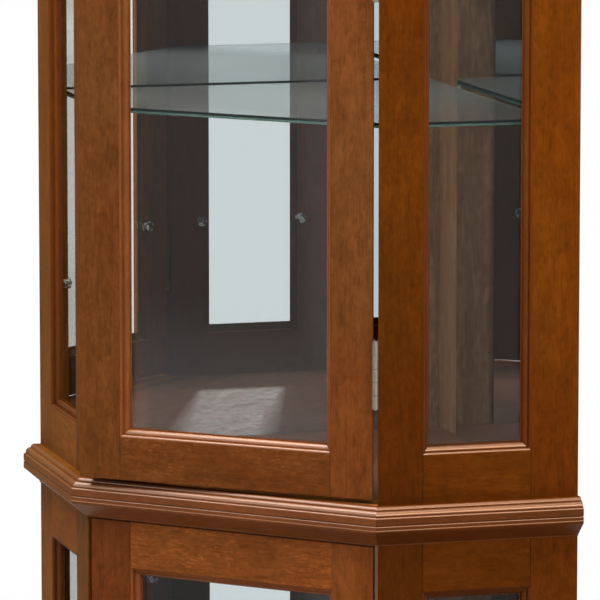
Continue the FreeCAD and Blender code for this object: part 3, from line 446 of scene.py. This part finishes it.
def shelf_glass():
    """Thick clear glass whose edges look green and whose faces get a painted grey sheen at a slant."""
    material, n = new_material("shelf_glass")
    level = n.math("ABSOLUTE", n.part(n.read("NewGeometry", "Normal"), "Z"))
    edge = n.steps(level, *EDGE_BAND, 1.0, 0.0)
    rise = n.part(n.read("TexCoord", "Generated"), "Z")
    # Painted light: the edge is lighter in its lower part and dark green above.
    tint = n.mix(edge, SHELF_TINT, n.mix(n.steps(rise, *RIM_BAND), RIM_LOW, RIM_HIGH))
    glass = n.shader("BsdfGlass", Color=tint, Roughness=0.0, IOR=GLASS_IOR)
    grey = n.shader("BsdfDiffuse", Color=SHEEN_GREY)
    slant = n.add("LayerWeight", Blend=0.5).outputs["Facing"]
    sheen_share = n.without(n.steps(slant, *SHEEN_BAND, 0.0, SHEEN_MOST), edge)
    weaker_sheen = n.steps(n.part(n.place(), "X"), *WEAKER_SHEEN_BAND, 1.0, WEAKER_SHEEN)
    body = n.mix_shaders(n.math("MULTIPLY", sheen_share, weaker_sheen), glass, grey)
    shadow = n.shader("BsdfTransparent", Color=SHELF_SHADOW)
    n.finish(n.mix_shaders(n.read("LightPath", "Is Shadow Ray"), body, shadow))
    return material


# ---------------------------------------------------------------- mirrors
SILVER = (0.694, 0.748, 0.774)
PAINTED_BRIGHT_SILVER = (0.99, 0.97, 0.95)
BRIGHT_SILVER_BAND = (0.218, 0.226)  # painted reflection: the silver is brighter beyond this distance to either side of the middle
SMUDGE_COLOUR = (0.60, 0.62, 0.62)
SMUDGE_BAND = (0.45, 0.75)
SMUDGE_COVER = 0.03


def mirror():
    """Silvered glass, slightly grey in the middle and painted brighter near the side frames as a stronger
    reflection, with faint smudges.
    """
    material, n = new_material("mirror")
    outward = n.math("ABSOLUTE", n.part(n.place(), "X"))
    silver = n.mix(n.steps(outward, *BRIGHT_SILVER_BAND), SILVER, PAINTED_BRIGHT_SILVER)
    smudge = n.noise(n.place(), scale=9.0, detail=4.0, roughness=0.6)
    colour = n.mix(n.steps(smudge, *SMUDGE_BAND, 0.0, SMUDGE_COVER), silver, SMUDGE_COLOUR)
    n.finish(n.shader("BsdfPrincipled", Base_Color=colour, Metallic=1.0, Roughness=0.0))
    return material


# ---------------------------------------------------------------- metal and plastic
NICKEL = (0.34, 0.28, 0.23)
BRASS = (0.44, 0.33, 0.19)
SCRATCH_GAIN = 0.82  # how dark the scratches are
SCRATCH_ROUGHNESS = 0.12  # how much rougher the metal is between the scratches
PAINTED_DARK_SPOT = (0.16, 0.15, 0.14)
PAINTED_GLINT = (0.98, 0.95, 0.91)
GLINT_BAND = (0.46, 0.54)
CLEAR_IOR = 1.49
DARK_PLASTIC = ((0.035, 0.018, 0.011), (0.06, 0.032, 0.02))


def metal(name, colour, rough, stretch=(1.0, 1.0, 1.0)):
    """Satin metal with fine scratches, which run along the axis that stretch is small on."""
    material, n = new_material(name)
    scratch = n.noise(n.place(scale=stretch), scale=900.0, detail=3.0, roughness=0.6)
    shader = n.shader(
        "BsdfPrincipled",
        Base_Color=n.mix(n.steps(scratch, *NOISE_BAND), shade(colour, SCRATCH_GAIN), colour),
        Metallic=1.0,
        Roughness=n.steps(scratch, *NOISE_BAND, rough, rough + SCRATCH_ROUGHNESS),
        Normal=n.bump(scratch, strength=0.15, distance=0.0002),
    )
    n.finish(shader)
    return material


def clear_plastic():
    """Clear moulded plastic with an uneven surface, and glints and dark spots painted into its colour."""
    material, n = new_material("clear_plastic")
    # Painted glints: a noise sets bright and dark spots in the colour.
    cloud = n.steps(n.noise(n.place(), scale=190.0, detail=2.0, roughness=0.5), *GLINT_BAND)
    shader = n.shader(
        "BsdfPrincipled",
        Base_Color=n.mix(cloud, PAINTED_DARK_SPOT, PAINTED_GLINT),
        Roughness=0.10,
        Transmission_Weight=0.35,
        IOR=CLEAR_IOR,
        Normal=n.bump(cloud, strength=0.8, distance=0.002),
    )
    n.finish(shader)
    return material


def dark_plastic():
    """Dark brown moulded plastic with a fine grain."""
    material, n = new_material("dark_plastic")
    grain = n.noise(n.place(), scale=700.0, detail=3.0, roughness=0.6)
    shader = n.shader(
        "BsdfPrincipled",
        Base_Color=n.mix(grain, *DARK_PLASTIC),
        Roughness=0.45,
        Normal=n.bump(grain, strength=0.2, distance=0.0001),
    )
    n.finish(shader)
    return material


def dress_fittings():
    panes = [f"{side}_{part}_glass" for side in ("left", "right") for part in ("upper", "lower")]
    dress(panes, pane_glass("side_pane_glass", SIDE_PANE_SHINE))
    door_glass = pane_glass("door_pane_glass", DOOR_PANE_SHINE, DOOR_PANE_GLEAM)
    dress(["upper_door_glass", "lower_door_glass"], door_glass)
    dress(["lower_glass_shelf", "middle_glass_shelf", "upper_glass_shelf"], shelf_glass())
    dress(["left_mirrors", "right_mirrors"], mirror())
    nickel = metal("nickel", NICKEL, rough=0.34, stretch=(1.0, 1.0, 0.1))
    dress(["hinge_frame_leaves", "hinge_pins"], nickel)
    knob = metal("knob_metal", BRASS, rough=0.28)
    for door in ("upper_door", "lower_door"):
        dress([f"{door}_hinge_leaves", f"{door}_strike_plate"], nickel)
        dress([f"{door}_knob"], knob)
    clips = ["side_glass_clips", "upper_door_glass_clips", "lower_door_glass_clips"]
    dress(clips + ["shelf_supports"], clear_plastic())
    dress(["magnetic_catches"], dark_plastic())


# ---------------------------------------------------------------- floor
FLOOR_RADIUS = 2.6
FLOOR_DROP = 0.001  # keeps the floor clear of the cabinet's foot
FLOOR_FADE = (0.35, 0.98)  # the floor fades out between these shares of its radius
FLOOR_SPECKS = ((0.78, 0.78, 0.77), (0.82, 0.82, 0.81))


def make_floor():
    bpy.ops.mesh.primitive_circle_add(vertices=96, radius=FLOOR_RADIUS, fill_type="NGON")
    floor = bpy.context.object
    floor.name = "studio_floor"
    floor.location = (0, 0, -FLOOR_DROP)
    material, n = new_material("studio_floor")
    spot = n.read("TexCoord", "Object")
    distance = n.add("VectorMath", spot, operation="LENGTH").outputs["Value"]
    fade = n.steps(distance, *[FLOOR_RADIUS * share for share in FLOOR_FADE])
    speck = n.noise(spot, scale=60.0, detail=3.0, roughness=0.6)
    cloth = n.shader("BsdfDiffuse", Color=n.mix(speck, *FLOOR_SPECKS))
    clear = n.shader("BsdfTransparent", Color=WHITE)
    n.finish(n.mix_shaders(fade, cloth, clear))
    floor.data.materials.append(material)


# ---------------------------------------------------------------- world
# What polished surfaces see round the studio: the bearing, half width and brightness of each patch.
# A bearing is in degrees, from +X towards +Y.
Patch = namedtuple("Patch", "bearing half brightness")
LOW_PATCH = Patch(-62.0, 14.0, 1.0)  # this one ends low down, where the studio's wooden floor begins
STUDIO_PATCHES = (Patch(-29.0, 17.0, 1.0), LOW_PATCH, Patch(-118.0, 40.0, 0.30), Patch(150.0, 50.0, 0.10))
STUDIO_REST = 0.45  # the brightness between the patches
PATCH_EDGE = 3.0  # degrees over which a patch sets in
WOODEN_FLOOR_BAND = (-0.168, -0.176)  # the height of a view's direction there
WOODEN_FLOOR = (0.30, 0.13, 0.06)
AMBIENT_COLOUR = (0.97, 0.985, 1.0)
AMBIENT = 0.26  # the strength of the light from all around


def patch_brightness(n, bearing):
    """How bright the studio looks in one direction."""
    seen = STUDIO_REST
    for patch in STUDIO_PATCHES:
        offset = n.math("WRAP", n.math("SUBTRACT", bearing, math.radians(patch.bearing)), math.pi, -math.pi)
        ends = (math.radians(patch.half), math.radians(patch.half - PATCH_EDGE))
        inside = n.steps(n.math("ABSOLUTE", offset), *ends)
        seen = n.math("ADD", n.without(seen, inside), n.math("MULTIPLY", patch.brightness, inside))
    return seen


def wooden_floor_mask(n, bearing, height):
    """Where the low patch gives way to the studio's wooden floor."""
    offset = n.math("ABSOLUTE", n.math("SUBTRACT", bearing, math.radians(LOW_PATCH.bearing)))
    beside = n.math("LESS_THAN", offset, math.radians(LOW_PATCH.half))
    return n.math("MULTIPLY", beside, n.steps(height, *WOODEN_FLOOR_BAND))


def make_world():
    """A soft even light, white to the camera and through glass, with the studio's patches in mirrors."""
    world = bpy.data.worlds.new("studio")
    bpy.context.scene.world = world
    world.use_nodes = True
    n = Nodes(world.node_tree)
    direction = n.read("TexCoord", "Generated")
    bearing = n.math("ARCTAN2", n.part(direction, "Y"), n.part(direction, "X"))
    on_floor = wooden_floor_mask(n, bearing, n.part(direction, "Z"))
    studio = n.mix(on_floor, patch_brightness(n, bearing), WOODEN_FLOOR)
    glossy = n.shader("Background", Color=studio, Strength=1.0)
    white = n.shader("Background", Color=WHITE, Strength=1.0)
    shader = n.shader("Background", Color=AMBIENT_COLOUR, Strength=AMBIENT)
    for ray, seen in (("Glossy", glossy), ("Transmission", white), ("Camera", white)):
        shader = n.mix_shaders(n.read("LightPath", f"Is {ray} Ray"), shader, seen)
    n.finish(shader, "OutputWorld")


# ---------------------------------------------------------------- lamps
KEY_AIM = 0.2  # metres above the deck
KEY_DISTANCE = 11.0
KEY_SIZE = 0.73
KEY_POWER = 650.0
KEY_BEARING = -25.6  # degrees, from +X towards +Y
KEY_RISE = 23.5  # degrees above level
KEY_COLOUR = (1.0, 0.97, 0.93)


def lamp(name, place, aim, size, power, colour=WHITE):
    data = bpy.data.lights.new(name, "AREA")
    data.shape = "RECTANGLE"
    data.size, data.size_y = size
    data.energy = power
    data.color = colour
    obj = bpy.data.objects.new(name, data)
    obj.location = place
    obj.rotation_euler = (Vector(aim) - Vector(place)).to_track_quat("-Z", "Y").to_euler()
    bpy.context.collection.objects.link(obj)


def make_lamps():
    """A key lamp from the right of the camera, a large soft one overhead and a weak one from the left."""
    aim = Vector((0.0, 0.0, DECK_Z + KEY_AIM))
    bearing, rise = math.radians(KEY_BEARING), math.radians(KEY_RISE)
    away = Vector((math.cos(bearing) * math.cos(rise), math.sin(bearing) * math.cos(rise), math.sin(rise)))
    lamp("key", aim + away * KEY_DISTANCE, aim, (KEY_SIZE, KEY_SIZE), KEY_POWER, KEY_COLOUR)
    lamp("ceiling", place=(-0.3, -0.6, 3.3), aim=(-0.1, -0.3, 0.7), size=(3.2, 2.8), power=240.0)
    lamp("fill", place=(-2.6, -3.6, 1.9), aim=(0.0, 0.0, 1.0), size=(2.0, 2.0), power=40.0)


dress_wood()
dress_fittings()
make_floor()
make_world()
make_lamps()
bpy.context.scene.view_settings.view_transform = "Standard"
